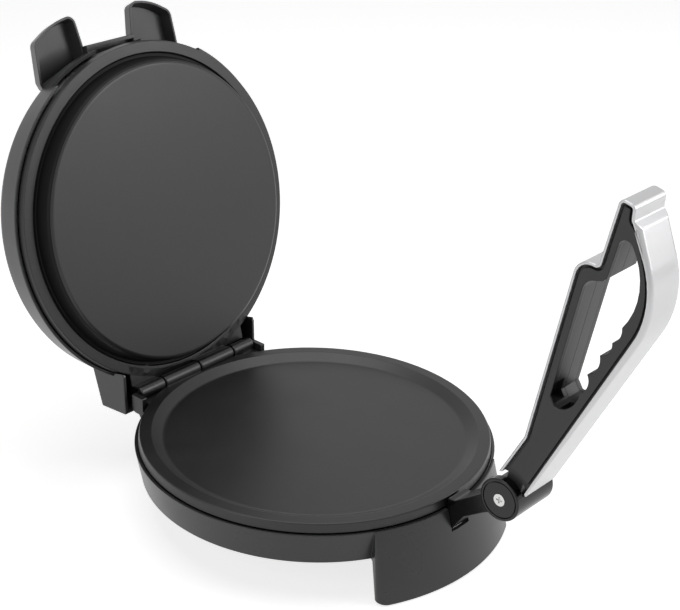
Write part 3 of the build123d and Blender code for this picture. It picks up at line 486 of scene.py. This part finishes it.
# ---- base: pan ----
pan_section = rounded([
    (0, PAN_TOP - PAN_DEPTH, 0),
    (FLOOR_R, PAN_TOP - PAN_DEPTH, 6),
    (130.5, PAN_TOP, 1.5),
    (PLATE_R, PAN_TOP, 1.3),
    (PLATE_R + 1.3, SHELL_RIM + 0.3, 0.6),
    (PLATE_R - 1.6, SHELL_RIM + 0.3, 0.2),
    (PLATE_R - 2.2, SHELL_RIM + 3.5, 0),
    (133, SHELL_RIM + 3.5, 1),
    (128, UNDER_Z, 2),
    (ELEMENT_R + 6, UNDER_Z, 1),
    (ELEMENT_R + 6, RIB_Z, 0.5),
    (ELEMENT_R + TUBE_R + 0.1, RIB_Z, 0.3),
    (ELEMENT_R + TUBE_R + 0.1, UNDER_Z - 1, 3.5),
    (ELEMENT_R - TUBE_R - 0.1, UNDER_Z - 1, 3.5),
    (ELEMENT_R - TUBE_R - 0.1, RIB_Z, 0.3),
    (ELEMENT_R - 6, RIB_Z, 0.5),
    (ELEMENT_R - 6, UNDER_Z, 1),
    (0, UNDER_Z, 0),
], steps=6)
pan_parts = [spin("pan", pan_section)]
tab = [(-66, 100), (66, 100), (66, 138), (-66, 138)]
pan_tab = slab("tab", [tab], SHELL_RIM + 0.3, PAN_TOP - 2, bevel=0.6)
reliefs = [rod("relief", RELIEF_R, a - 0.3, b + 0.3, HINGE_SIDE) for a, b in UPPER_KNUCKLES]
reliefs += [block("relief", (0, -16, a - 0.3), (8.1, 0, b + 0.3), HINGE_SIDE) for a, b in UPPER_KNUCKLES]
cut(pan_tab, rod("hollow", 132, 50, 70, segments=192), *reliefs)
pan_parts.append(pan_tab)
for start, end in LOWER_KNUCKLES:
    pan_parts.append(barrel("knuckle", start + END_GAP, end - END_GAP, HINGE_SIDE))
    pan_parts.append(slab("web", [[(-5, -10), (0, -10), (0, 0), (-5, 0)]], start + END_GAP, end - END_GAP,
                          HINGE_SIDE, bevel=0.3))
for x, y in PLATE_SCREWS:
    at_boss = Matrix.Translation((x, y, 0))
    pan_parts.append(rod("boss", 5, LOWER_BOSS_Z, UNDER_Z + 0.5, at_boss, 32, 0.4))
dress(join("pan", pan_parts, 35), "nonstick", "base", "lower_plate")

# ---- lid: press plate ----
press_section = rounded([
    (0, PRESS_FACE, 0),
    (PRESS_R - 0.6, PRESS_FACE, 4.5),
    (PRESS_ROOT_R - 0.5, LID_RING + 1.8, 1),
    (PRESS_ROOT_R + 2.6, LID_RING + 1.8, 1),
    (PRESS_ROOT_R + 3.2, LID_RING, 0.8),
    (LID_PLATE_R, LID_RING, 1.0),
    (LID_PLATE_R + 0.8, LID_RIM, 0.3),
    (LID_PLATE_R - 1.7, LID_RIM, 0.3),
    (LID_PLATE_R - 2.0, RING_BACK, 0),
    (123.5, RING_BACK, 2),
    (118.5, UPPER_BACK, 3),
    (ELEMENT_R + 6, UPPER_BACK, 1),
    (ELEMENT_R + 6, UPPER_BACK + 7, 0.5),
    (ELEMENT_R + TUBE_R + 0.1, UPPER_BACK + 7, 0.3),
    (ELEMENT_R + TUBE_R + 0.1, UPPER_BACK + 1, 3.5),
    (ELEMENT_R - TUBE_R - 0.1, UPPER_BACK + 1, 3.5),
    (ELEMENT_R - TUBE_R - 0.1, UPPER_BACK + 7, 0.3),
    (ELEMENT_R - 6, UPPER_BACK + 7, 0.5),
    (ELEMENT_R - 6, UPPER_BACK, 1),
    (0, UPPER_BACK, 0),
], steps=6)
press_parts = [spin("press", press_section, LID)]
tab = [(-64.5, 100), (64.5, 100), (64.5, 134), (-64.5, 134)]
press_tab = slab("tab", [tab], LID_RING, RING_BACK, LID, bevel=0.6)
seats = [rod("seat", 3.6, LID_RING - 1, LID_RING + 2.2, LID @ Matrix.Translation((x, y, 0)), 32)
         for x, y in TAB_SCREWS]
cut(press_tab, rod("hollow", 132, 60, 90, LID, 192), *seats)
press_parts.append(press_tab)
for start, end in UPPER_KNUCKLES:
    press_parts.append(barrel("knuckle", start + END_GAP, end - END_GAP, LID @ HINGE_SIDE))
    web = [(-5, 0), (5, 0), (5, RING_BACK - HINGE_Z), (-5, RING_BACK - HINGE_Z)]
    press_parts.append(slab("web", [web], start + END_GAP, end - END_GAP, LID @ HINGE_SIDE, bevel=0.3))
for x, y in PLATE_SCREWS:
    at_boss = LID @ Matrix.Translation((x, y, 0))
    press_parts.append(rod("boss", 5, UPPER_BACK - 0.5, UPPER_SHIELD_Z, at_boss, 32, 0.4))
press_plate = dress(join("press_plate", press_parts, 35), "nonstick", "lid", "upper_plate")
# Painted shade on the press plate's edge slope and the groove at its root: these faces get the darker copy of
# the coating.
paint_shade_faces(
    press_plate, FINISHES["painted_shade_slope"], LID,
    lambda p, n: PRESS_FACE + 1.2 < p.z < LID_RING + 2.5 and PRESS_R - 2 < p.xy.length < PRESS_ROOT_R + 2.9,
)


# ---- base: shell with its flared front foot ----
def foot_ring(r_in, r_out, half_angle, corner, z):
    """Sector outline at a height, its outer corners rounded."""
    lean_in = radians(half_angle)
    points = []
    for side in (-1, 1):
        arc = []
        tip = r_out - corner
        swing = corner / tip
        away = lean_in - swing
        centre = Vector((side * tip * sin(away), -tip * cos(away)))
        for k in range(9):
            angle = away * side + side * radians(90) * k / 8
            arc.append(centre + corner * Vector((sin(angle), -cos(angle))))
        points.append(arc)
    left, right_arc = points
    outer = [Vector((r_out * sin(a), -r_out * cos(a))) for a in
             [(-1 + 2 * k / 48) * (lean_in - corner / (r_out - corner)) for k in range(1, 48)]]
    inner = [Vector((r_in * sin(a), -r_in * cos(a))) for a in [(1 - 2 * k / 24) * lean_in for k in range(25)]]
    ring = [*reversed(left), *outer, *right_arc, *inner]
    return [(p.x, p.y, z) for p in ring]


def foot_station(z, shrink=0.0):
    share = (SHELL_RIM - z) / (SHELL_RIM - APRON_FOOT_Z)
    r_out = APRON_TOP_R + (APRON_FOOT_R - APRON_TOP_R) * share
    r_in = SHELL_R - 1.25 - 10.55 * share
    half = APRON_HALF_ANGLE - shrink * 0.4
    return foot_ring(r_in + shrink, r_out - shrink, half, 0.8 + 7.2 * share, z)


front_foot = loft("front foot", [
    foot_station(APRON_FOOT_Z, 0.9), foot_station(APRON_FOOT_Z + 0.3, 0.35), foot_station(APRON_FOOT_Z + 1),
    foot_station(20), foot_station(40), foot_station(SHELL_RIM),
], sharp=50)
inside_top = APRON_TOP_R + (APRON_FOOT_R - APRON_TOP_R) * 7 / 56 - APRON_WALL
inside_foot = APRON_FOOT_R + 0.3 - APRON_WALL
cone = spin("cone", [(0, SHELL_BASE), (142, SHELL_BASE), (151.5, 0), (151.5, -5), (0, -5)])
cut(front_foot, cone, loft("hollow", [
    foot_ring(118, inside_foot, 28.8, 5, 0), foot_ring(118, inside_top, 28.8, 2, 50),
]))
wall = spin("wall", rounded([
    (SHELL_R, SHELL_RIM, 0.5),
    (SHELL_FOOT_R, SHELL_BASE, 0.8),
    (SHELL_FOOT_R - WALL, SHELL_BASE, 0),
    (SHELL_FOOT_R - WALL, FLANGE_Z, 0),
    (124, FLANGE_Z, 0),
    (124, FLANGE_Z + WALL, 0.3),
    (137.1, FLANGE_Z + WALL, 1),
    (SHELL_R - WALL, SHELL_RIM, 0.3),
], steps=4), segments=192)
cable = Vector((cos(0.1867) * sin(radians(138)), -cos(0.1867) * cos(radians(138)), -sin(0.1867)))
cable_from = Vector((139.6 * sin(radians(138)), -139.6 * cos(radians(138)), 44))
CABLE = Matrix.Translation(cable_from) @ cable.to_track_quat("Z", "Y").to_matrix().to_4x4()
cut(wall, block("flat", (-75, 133, 24), (75, 173, 64)), rod("cable", 5, -6, 6, CABLE))
arm_room = block("arm room", (-ARM_HALF - 0.3, -165, NOTCH_BASE), (ARM_HALF + 0.3, -135, 70))
arm_room_too = block("arm room", (-ARM_HALF - 0.3, -165, NOTCH_BASE), (ARM_HALF + 0.3, -135, 70))
cut(wall, arm_room)
cut(front_foot, arm_room_too)
shell_parts = [wall, front_foot]
shell_parts.append(slab("back", [[(-49, 130.5), (49, 130.5), (49, 133), (-49, 133)]], 30.5, 55, bevel=0.3))
post = rounded([
    (120, 46, 0), (126, 46, 0), (131, POST_BASE, 0), (139.5, POST_BASE, 5), (139.5, POST_TOP, 0.8),
    (126, POST_TOP, 0.8), (126, SHELL_RIM, 0), (120, SHELL_RIM, 0),
])
shell_parts.append(slab("post", [post], -POST_OUTER, -POST_INNER, SIDE, bevel=0.5))
shell_parts.append(slab("post", [post], POST_INNER, POST_OUTER, SIDE, bevel=0.5))
shell_parts.append(slab("shelf", [[(-28, -135), (28, -135), (28, -111), (-28, -111)]], 33, 35.5))
for x, y in FRONT_FEET:
    boss = Matrix.Translation((x, y, 0))
    shell_parts.append(spin("boss", [(7, 2), (8.5, 2), (8.5, 14), (0, 14), (0, 4), (7, 4)], boss, 48))
for x, y in COVER_SCREWS:
    shell_parts.append(rod("boss", 4.5, 33, 42, Matrix.Translation((x, y, 0)), 32, 0.3))
dress(join("base_body", shell_parts), "base_plastic", "base", "base_shell")

# ---- base: lever bracket ----
arm = rounded([
    (-116, FLANGE_Z + WALL, 0), (-116, 50, 3), (-136, 50, 3), (-142.5, 55, 1.5), (-142.5, PAN_TOP + 1.2, 2),
    (-149, PAN_TOP + 1.2, 6), (-186, 92, 0), (-196, 78, 0), (-176.4, 68.4, 12), (-159, 57, 4),
    (-147, 39.6, 3), (-136.8, 39.6, 0), (-135.5, FLANGE_Z + WALL, 0),
])
arm_piece = slab("arm", [arm], -ARM_HALF, ARM_HALF, SIDE, bevel=0.8)
cut(arm_piece, rod("space", TROUGH_R, -15, 15, PIVOT_SIDE, 96))
foot_plate = rounded([(-22, -135, 3), (22, -135, 3), (22, -113, 3), (-22, -113, 3)])
bracket_parts = [arm_piece, slab("foot", [foot_plate], 35.5, 39, bevel=0.4)]
ear = rounded([
    (3.02, EAR_IN, 0), (EAR_R, EAR_IN, 0.5), (EAR_R, EAR_OUT, 1.1), (14.3, EAR_OUT, 0.5),
    (14.3, EAR_OUT - 1.5, 0.2), (3.02, EAR_OUT - 1.5, 0),
], steps=4)
bracket_parts.append(spin("ear", ear, PIVOT_SIDE, 128))
bracket_parts.append(spin("ear", [(r, -h) for r, h in ear], PIVOT_SIDE, 128))
trough = rounded([(TROUGH_R, -15.2, 0), (EAR_R, -15.2, 0), (EAR_R, 15.2, 0), (TROUGH_R, 15.2, 0)])
bracket_parts.append(spin("trough", trough, PIVOT_SIDE, 96, -203, 188))
dress(join("lever_bracket", bracket_parts), "bracket_black", "base", "pivot_bracket")


# ---- lid: shell with its dome, hinge housing and two lugs ----
def lug(side):
    return [(side * x, y, radius) for x, y, radius in [
        (LUG_INNER - 2.4, -128, 0), (LUG_INNER - 1.4, -144, 0), (LUG_INNER + 2.6, -169.3, 8),
        (52, -166.2, 60), (LUG_OUTER - 0.7, -154.2, 9), (LUG_OUTER + 1.4, -121, 0), (LUG_OUTER - 2, -112, 0),
    ]]


slope = tan(radians(LUG_TAPER))
lug_parts = []
for side in (-1, 1):
    rings = []
    inner_top = LUG_TOP - LUG_WALL
    for z, offset in ((inner_top, LUG_WALL + slope * (inner_top - LUG_LIP)), (LUG_LIP + 0.4, LUG_WALL + 0.1),
                      (LUG_LIP, LUG_WALL - 0.3), (LUG_LIP, 0.4), (LUG_LIP + 0.4, 0.1),
                      (LUG_TOP - 1.8, slope * 10.2), (LUG_TOP - 0.9, slope * 10.2 + 0.45),
                      (LUG_TOP - 0.25, slope * 10.2 + 1.1), (LUG_TOP, slope * 10.2 + 2.0)):
        rings.append([(p.x, p.y, z) for p in rounded(inset(lug(side), offset))])
    lug_parts.append(loft("lug", rings, LID))
dome_outer = rounded([
    (0, LID_RIM, 0), (LID_RIM_R, LID_RIM, 0.8), (LID_SHOULDER_R - 0.5, LID_CROWN - 2.5, 12),
    (60, LID_CROWN - 0.3, 0), (0, LID_CROWN, 0),
], steps=10)
dome_inner = rounded([
    (0, LID_RIM - 30, 0), (LID_PLATE_R + 1.5, LID_RIM - 30, 0), (LID_PLATE_R + 1.5, LID_RIM, 0),
    (LID_SHOULDER_R - 3, LID_CROWN - 5, 9.5), (60, LID_CROWN - WALL - 0.3, 0), (0, LID_CROWN - WALL, 0),
], steps=6)
housing_outer = rounded([
    (113, LID_RIM, 0), (117.5, PAN_TOP + 5, 1), (121, PAN_TOP + 4, 1), (HOUSING_BACK, PAN_TOP + 10.5, 1.5),
    (HOUSING_BACK - 4.5, PAN_TOP + 39.8, 1.5), (113, PAN_TOP + 43, 0),
])
housing_inner = rounded([
    (100, PAN_TOP - 5, 0), (HOUSING_BACK - 1.1, PAN_TOP - 5, 0), (HOUSING_BACK - 7, PAN_TOP + 37.2, 1),
    (112, PAN_TOP + 40.4, 0), (100, PAN_TOP + 40.4, 0),
])
dome = spin("dome", dome_outer, LID, 192)
cut(dome, spin("hollow", dome_inner, LID, 192))
cut(dome, slab("hollow", [housing_inner], -HOUSING_HALF + WALL, HOUSING_HALF - WALL, LID @ SIDE))
housing = slab("housing", [housing_outer], -HOUSING_HALF, HOUSING_HALF, LID @ SIDE, bevel=0.8)
cut(housing, slab("hollow", [housing_inner], -HOUSING_HALF + WALL, HOUSING_HALF - WALL, LID @ SIDE))
cut(housing, spin("hollow", dome_inner, LID, 192))
front = block("front rim", (-75.5, -145, LID_RIM - 1), (75.5, -105, LID_RIM + 11), LID)
saddle = block("saddle", (-24, -145, LID_RIM + 10), (24, -105, LID_RIM + 20), LID)
cut(dome, front, saddle)
behind_bar = ((-24, -139.8, LID_RIM + 19), (24, -120, LID_RIM + 25.8))
cut(dome, block("behind the bar", *behind_bar, LID))
for x, y in LENSES:
    cut(dome, rod("lens hole", 4.6, LID_CROWN - 8, LID_CROWN + 2, LID @ Matrix.Translation((x, y, 0)), 48))
SADDLE_BAR_FRONT = -143
SADDLE_BAR_BACK = -134
SADDLE_BAR_FOOT = LID_RIM + 20
SADDLE_BAR_TOP = LID_RIM + 29
saddle_bar = rounded([
    (SADDLE_BAR_FRONT, SADDLE_BAR_FOOT, 0.8), (SADDLE_BAR_FRONT + 1.6, SADDLE_BAR_TOP, 1.5),
    (SADDLE_BAR_BACK, SADDLE_BAR_TOP, 0), (SADDLE_BAR_BACK, SADDLE_BAR_FOOT, 0),
])
bar = slab("bar", [saddle_bar], -LUG_INNER + 1.5, LUG_INNER - 1.5, LID @ SIDE)
cut(bar, block("behind the bar", *behind_bar, LID))
for part in (*lug_parts, bar):
    cut(part, spin("hollow", dome_inner, LID, 192))
lid_parts = [dome, housing, bar, *lug_parts]
for x, y in TAB_SCREWS:
    lid_parts.append(rod("post", 4.8, RING_BACK, LUG_LIP + 6, LID @ Matrix.Translation((x, y, 0)), 32))
dress(join("lid_body", lid_parts), "lid_plastic", "lid", "lid_shell")


# ---- lever: silver cover ----
def lever_side(heel, root):
    return [
        (0, root, 0), (0, 14.3, 0), (58, -3, 12), (205.9, -3, 12.5), (206.9, -18.7, 2.4),
        (257.9, -19.7, 4.5), (257.4, -31.9, 4.5), (247.6, -33.4, 2.5), (244, -39.2, 4), (*heel, 70),
    ]


outside = rounded(lever_side((195.9, -69), -13.5), steps=10)
inside = rounded(inset(lever_side((198.7, -67.2), -13.7), BAND), steps=10)
outside, inside = outside[1:] + outside[:1], inside[1:] + inside[:1]
rings = []
for i, (out, into) in enumerate(zip(outside, inside)):
    behind = min(1, max(0, (-34 - out.y) / 6))
    edge = 0.9 + 3.6 * behind
    depth = (into - out).length
    direction = (into - out).normalized()
    ring = []
    half = []
    for k in range(7):
        angle = radians(90) * k / 6
        half.append((LEVER_HALF - edge + edge * sin(angle), edge * (1 - cos(angle))))
    half.append((LEVER_HALF, max(depth - 0.3, edge + 0.05)))
    half.append((LEVER_HALF - 0.3, depth))
    across = [(-x, d) for x, d in reversed(half)] + half
    for x, d in across:
        place = out + direction * d
        ring.append((place.x, place.y, x))
    rings.append(ring)
cover = loft("cover", rings, LEVER, sharp=35)
cut(cover, rod("pivot room", LEVER_CLEAR_R, -30, 30, LEVER, 96))
dress(join("silver_cover", [cover], 35), "lever_silver", "lever", "lever_cover")

# ---- lever: dark halves with the grip opening ----
opening = [Vector(p) for p in [(95.6, -25.6), (93.6, -21.3), (93.6, -17.6), (98.9, -12.4), (185.8, -12.4)]]
opening += arc_through((185.8, -12.4), (192.1, -14.7), (195.9, -20.2))
opening += [Vector(p) for p in [(198.1, -24.7), (201.3, -27), (226, -27.7)]]
for start, middle, end in [
    ((226, -27.7), (232.2, -31), (231.4, -36.8)),
    ((231.4, -36.8), (204.9, -50.8), (175, -47.2)),
    ((175, -47.2), (167.4, -47.8), (161.4, -43.9)),
    ((161.4, -43.9), (153.6, -43.8), (147.9, -38.3)),
    ((147.9, -38.3), (137.7, -39.4), (129.9, -33.8)),
    ((129.9, -33.8), (121.8, -36.6), (114.1, -32.8)),
    ((114.1, -32.8), (104.5, -31.6), (95.6, -25.6)),
]:
    opening += arc_through(start, middle, end)
opening.pop()

half_side = lever_side((198.7, -67.2), -13.7)
for name, side in (("left", 1), ("right", -1)):
    low, high = sorted((0, side * HALF_FACE))
    body = slab(name, [outside_circle(rounded(inset(half_side, BAND + 0.05)), LEVER_CLEAR_R), opening],
                low, high, LEVER, bevel=0.25)
    low, high = sorted((side * (HALF_FACE - 2), side * HALF_RAISED))
    raised = slab(name, [outside_circle(rounded(inset(half_side, BAND + GROOVE)), FACE_CLEAR_R), opening],
                  low, high, LEVER, bevel=0.5)
    if side > 0:
        for part in (body, raised):
            cut(part, block("pocket", (94, -16.5, 4), (109, -8.5, 16.4), LEVER))
            cut(part, block("pocket", (90, -30.5, 4), (101, -21.5, 16.4), LEVER))
    low, high = sorted((0, side * 14.7))
    knuckle = rod(name, KNUCKLE_R, low, high, LEVER, 96, 0.5)
    neck = slab(name, [[(0, -11), (26, -11), (26, 3), (0, 3)]], low, high, LEVER, bevel=0.5)
    if side < 0:
        for x, y in LEVER_SCREWS:
            for part in (body, raised):
                cut(part, rod("screw hole", 3, -24, -8, LEVER @ Matrix.Translation((x, y, 0)), 32))
    grip_half = join("grip_half_" + name, [body, raised, knuckle, neck])
    dress(grip_half, "lever_dark", "lever", "lever_half_" + name)


# ---- camera, lights and floor ----
AZIMUTH, ELEVATION, ROLL = radians(-49.06), radians(25.53), radians(1.84)
DISTANCE = 1.47024
TARGET = Vector((0.18271, 0.13644, PAN_TOP * MM))
FOCAL_PX, FRAME_PX, SENSOR = 1579.85, 680, 36.0

back = Vector((sin(AZIMUTH) * cos(ELEVATION), -cos(AZIMUTH) * cos(ELEVATION), sin(ELEVATION)))
level = Vector((cos(AZIMUTH), sin(AZIMUTH), 0))
upward = back.cross(level)
right = level * cos(ROLL) + upward * sin(ROLL)
up = upward * cos(ROLL) - level * sin(ROLL)
camera_data = bpy.data.cameras.new("camera")
camera_data.sensor_width = SENSOR
camera_data.lens = FOCAL_PX * SENSOR / FRAME_PX
camera = bpy.data.objects.new("camera", camera_data)
turn = Matrix((right, up, back)).transposed().to_4x4()
camera.matrix_world = Matrix.Translation(TARGET + back * DISTANCE) @ turn
bpy.context.scene.collection.objects.link(camera)
bpy.context.scene.camera = camera


def softbox(name, place, aim, size, power):
    """A rectangular lamp facing a point."""
    data = bpy.data.lights.new(name, "AREA")
    data.shape = "RECTANGLE"
    data.size, data.size_y = size
    data.energy = power
    lamp = bpy.data.objects.new(name, data)
    lamp.location = place
    lamp.rotation_euler = (Vector(aim) - Vector(place)).to_track_quat("-Z", "Y").to_euler()
    bpy.context.scene.collection.objects.link(lamp)


softbox("top", (0.1, 0.2, 1.9), (0, 0, 0.1), (1.6, 1.2), 11)
softbox("left", (-1.7, 0.1, 0.9), (0, 0, 0.15), (0.9, 1.4), 5)
softbox("right", (1.2, -1.5, 1.0), (0, -0.1, 0.15), (0.9, 1.2), 12.5)


def seen_or_mirrored(tree):
    """1 for a ray that the camera sees straight, in a reflection or through glass."""
    path = tree.nodes.new("ShaderNodeLightPath")
    total = path.outputs["Is Camera Ray"]
    for kind in ("Is Glossy Ray", "Is Transmission Ray"):
        add = tree.nodes.new("ShaderNodeMath")
        add.operation = "MAXIMUM"
        tree.links.new(total, add.inputs[0])
        tree.links.new(path.outputs[kind], add.inputs[1])
        total = add.outputs["Value"]
    return total


world = bpy.data.worlds.new("studio")
bpy.context.scene.world = world
world.use_nodes = True
sky = world.node_tree.nodes["Background"]
sky.inputs["Strength"].default_value = 0.62
white = world.node_tree.nodes.new("ShaderNodeBackground")
white.inputs["Strength"].default_value = 1.0
either = world.node_tree.nodes.new("ShaderNodeMixShader")
world.node_tree.links.new(seen_or_mirrored(world.node_tree), either.inputs["Fac"])
world.node_tree.links.new(sky.outputs["Background"], either.inputs[1])
world.node_tree.links.new(white.outputs["Background"], either.inputs[2])
world.node_tree.links.new(either.outputs["Shader"], world.node_tree.nodes["World Output"].inputs["Surface"])

floor_mesh = bpy.data.meshes.new("floor")
reach = 6.0
floor_corners = [(-reach, -reach, 0), (reach, -reach, 0), (reach, reach, 0), (-reach, reach, 0)]
floor_mesh.from_pydata(floor_corners, [], [(0, 1, 2, 3)])
floor = bpy.data.objects.new("floor", floor_mesh)
bpy.context.scene.collection.objects.link(floor)
paper = bpy.data.materials.new("paper")
paper.use_nodes = True
paper_nodes, paper_links = paper.node_tree.nodes, paper.node_tree.links
paper_nodes["Principled BSDF"].inputs["Base Color"].default_value = (0.85, 0.85, 0.85, 1)
paper_nodes["Principled BSDF"].inputs["Roughness"].default_value = 0.9
glow = paper_nodes.new("ShaderNodeEmission")
glow.inputs["Strength"].default_value = 0.76
both = paper_nodes.new("ShaderNodeAddShader")
pick = paper_nodes.new("ShaderNodeMixShader")
paper_links.new(paper_nodes["Principled BSDF"].outputs["BSDF"], both.inputs[0])
paper_links.new(glow.outputs["Emission"], both.inputs[1])
paper_links.new(seen_or_mirrored(paper.node_tree), pick.inputs["Fac"])
paper_links.new(paper_nodes["Principled BSDF"].outputs["BSDF"], pick.inputs[1])
paper_links.new(both.outputs["Shader"], pick.inputs[2])
paper_links.new(pick.outputs["Shader"], paper_nodes["Material Output"].inputs["Surface"])
floor_mesh.materials.append(paper)

bpy.context.scene.view_settings.view_transform = "Standard"
